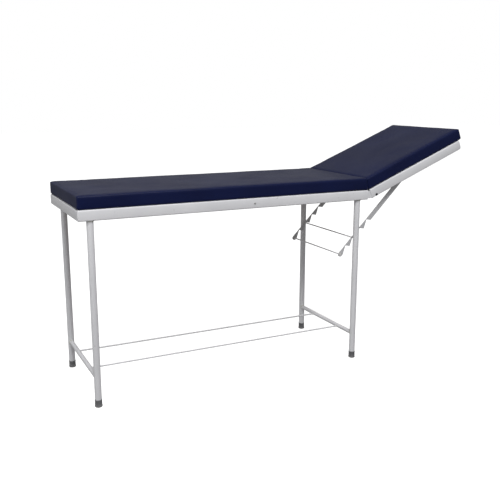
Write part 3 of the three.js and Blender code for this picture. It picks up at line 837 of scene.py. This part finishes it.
def add_prop():
    reach = Vector((prop_pivot.x - catch.x, prop_pivot.z - catch.z))
    to_catch = reach.length
    arm_angle = math.atan2(reach.y, reach.x) + math.asin(CATCH_OFF_CENTRE / to_catch)
    seated_apex = to_catch - CATCH_PAST_APEX
    link_at = seated_apex + (NOTCH_COUNT - SEATED_NOTCH) * NOTCH_PITCH + LINK_PAST_LAST_NOTCH
    along = Vector((-math.cos(arm_angle), 0, -math.sin(arm_angle)))
    towards_notches = Vector((math.sin(arm_angle), 0, -math.cos(arm_angle)))
    outline = arm_outline(seated_apex, link_at)
    bevelled = inset(outline, ARM_EDGE)
    for side, sign in SIDES.items():
        y0 = sign * ARM_Y - ARM_THICKNESS / 2
        y1 = y0 + ARM_THICKNESS
        layers = [
            (y0, bevelled),
            (y0 + ARM_EDGE, outline),
            (y1 - ARM_EDGE, outline),
            (y1, bevelled),
        ]
        rings = []
        for y, points in layers:
            rings.append([prop_pivot + along * s + towards_notches * t + Y * y for s, t in points])
        body = Body()
        body.loft(rings)
        # the arms take the darkened copy of the white enamel: painted shade
        finished(body.piece(f"notched_arm_{side}", ["arm_paint_shaded"], 30), "prop", "paint", f"prop_arm_{side}")
    body = Body()
    middle_of_rod = Vector((link.x, 0, link.z))
    end = ARM_Y + ARM_THICKNESS
    tube(body, middle_of_rod - Y * end, middle_of_rod + Y * end, ROD_RADIUS, 0.8, 20)
    for sign in SIDES.values():
        for y in (ARM_Y - ARM_THICKNESS / 2 - 0.4, ARM_Y + ARM_THICKNESS / 2 + 0.4):
            bead(body, circle(middle_of_rod + Y * sign * y, ROD_RADIUS + 0.3, X, Z, 20), ARM_WELD, y)
    finished(body.piece("arm_link_rod", ["paint", "weld"]), "prop", "paint", "link_rod")


# ---- pads ----------------------------------------------------------------------------------------
def foam_block(x0, x1, y, z0, z1):
    """A block of foam with a tight lower edge, a rounder upper edge and round corners."""
    layers = list(FOAM_LOWER_EDGE)
    for step in range(FOAM_CORNER_STEPS + 1):
        angle = math.radians(90) * step / FOAM_CORNER_STEPS
        height = z1 - z0 - PAD_TOP_EDGE * (1 - math.sin(angle))
        layers.append((height, PAD_TOP_EDGE * (1 - math.cos(angle))))
    rings = []
    for height, inset_by in layers:
        corner = max(PAD_PLAN_CORNER - inset_by, 1)
        ring = []
        for cx, cy, start in ((x1, y, 0), (x0, y, 90), (x0, -y, 180), (x1, -y, 270)):
            centre_x = cx - math.copysign(inset_by + corner, cx - (x0 + x1) / 2)
            centre_y = cy - math.copysign(inset_by + corner, cy)
            for step in range(FOAM_CORNER_STEPS + 1):
                angle = math.radians(start + 90 * step / FOAM_CORNER_STEPS)
                x = centre_x + corner * math.cos(angle)
                ring.append(Vector((x, centre_y + corner * math.sin(angle), z0 + height)))
        rings.append(ring)
    body = Body()
    body.loft(rings)
    return body


def swollen_pad(name, x0, x1):
    """A vinyl-covered foam pad in its section's own frame, with its underside just above the rails.

    The frame's origin is the hinge axis, so one of the pad's ends is near zero. The cover is blown
    up a little by a cloth simulation, then pressed flat underneath.
    """
    y = HALF_WIDTH + PAD_OVERHANG
    z0 = HINGE_DROP + PAD_UNDERSIDE
    z1 = HINGE_DROP + PAD_THICKNESS
    foam = foam_block(x0 + FOAM_INSET, x1 - FOAM_INSET, y - FOAM_INSET, z0, z1 - FOAM_INSET)
    pad = foam.piece(name, ["vinyl"], 180)
    remesh = pad.modifiers.new("even", "REMESH")
    remesh.mode = "VOXEL"
    remesh.voxel_size = PAD_VOXEL * MM
    apply_modifiers(pad)
    swell(pad, PAD_SWELL * MM)
    shape_pad(pad, x0, x1, y, z0, z1)
    pad.data.materials.clear()
    pad.data.materials.append(materials["vinyl"])
    pad.data.shade_smooth()
    return pad


def swell(pad, cap):
    """Runs the cloth, then takes each point's move, capped, as the pad's new shape."""
    before = [vertex.co.copy() for vertex in pad.data.vertices]
    cloth = pad.modifiers.new("swell", "CLOTH")
    settings = cloth.settings
    settings.use_pressure = True
    settings.uniform_pressure_force = PAD_PRESSURE
    settings.quality = CLOTH_QUALITY
    settings.tension_stiffness = COVER_STIFFNESS
    settings.compression_stiffness = COVER_STIFFNESS
    settings.bending_stiffness = COVER_BENDING_STIFFNESS
    settings.effector_weights.gravity = 0
    cloth.collision_settings.use_collision = False
    cloth.point_cache.frame_start = 1
    cloth.point_cache.frame_end = SWELL_FRAMES
    scene = bpy.context.scene
    for number in range(1, SWELL_FRAMES + 1):
        scene.frame_set(number)
    apply_modifiers(pad)
    scene.frame_set(1)
    for vertex, start in zip(pad.data.vertices, before):
        move = vertex.co - start
        if move.length > cap:
            vertex.co = start + move * (cap / move.length)


def shape_pad(pad, x0, x1, y, z0, z1):
    """Presses the swollen cover flat underneath, draws in its sides and gives its top a slow wave.

    Its hinge end is leant to the plane halfway between the two pads.
    """
    slant = math.tan(REST / 2)
    hinge_end = min(x0, x1, key=abs)
    away = math.copysign(1, x0 + x1)
    for vertex in pad.data.vertices:
        point = vertex.co / MM
        along = min(max((point.x - x0) / (x1 - x0), 0), 1)
        height = min(max((point.z - z0) / (z1 - z0), 0), 1)
        draw_in = PAD_SWELL * math.sin(math.pi * along) * height**DRAW_IN_RISE
        point.y -= math.copysign(draw_in * min(abs(point.y) / y, 1) ** DRAW_IN_EDGE, point.y)
        wave = noise.noise(Vector((point.x * WAVE_ALONG, point.y * WAVE_ACROSS, WAVE_SEED)))
        point.z += PAD_WAVE * wave * height**2
        point.z = max(point.z, z0)
        near_hinge = 1 - min(abs(point.x - hinge_end) / PAD_SLANT_RUN, 1)
        lean = away * near_hinge * point.z * slant
        halfway = point.z * slant + PAD_HINGE_GAP
        point.x = away * max(away * (point.x + lean), halfway)
        vertex.co = point * MM


def add_pads():
    """Makes both pads, their touching ends at the hinge leant to meet on the plane halfway between them."""
    seat = swollen_pad("seat_cushion", foot_x - hinge.x - PAD_FOOT_OVERHANG, PAD_SQUEEZE)
    place(seat, Matrix.Translation(hinge))
    back = swollen_pad("back_cushion", -PAD_SQUEEZE, BACK_PAD_END)
    place(back, back_frame)
    for pad, node in ((seat, "seat_pad"), (back, "back_pad")):
        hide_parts(node)
        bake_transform(pad)


# ---- carried-over CAD nodes ----------------------------------------------------------------------
def dress_cad_nodes():
    """Gives the small fittings that keep their CAD shape a procedural material."""
    slots = {part["node"]: part["material_slot"] for part in frame["record"]["subparts"]}
    for node, piece in frame["nodes"].items():
        piece.data.materials.clear()
        piece.data.materials.append(materials[slots[node]])
        piece.data.shade_smooth()
        piece.data.set_sharp_from_angle(angle=math.radians(35))


add_camera()
add_studio()
dress_cad_nodes()
add_seat_frame()
add_back_frame()
add_legs()
add_lower_bars()
add_catch_rod()
add_prop()
add_pads()
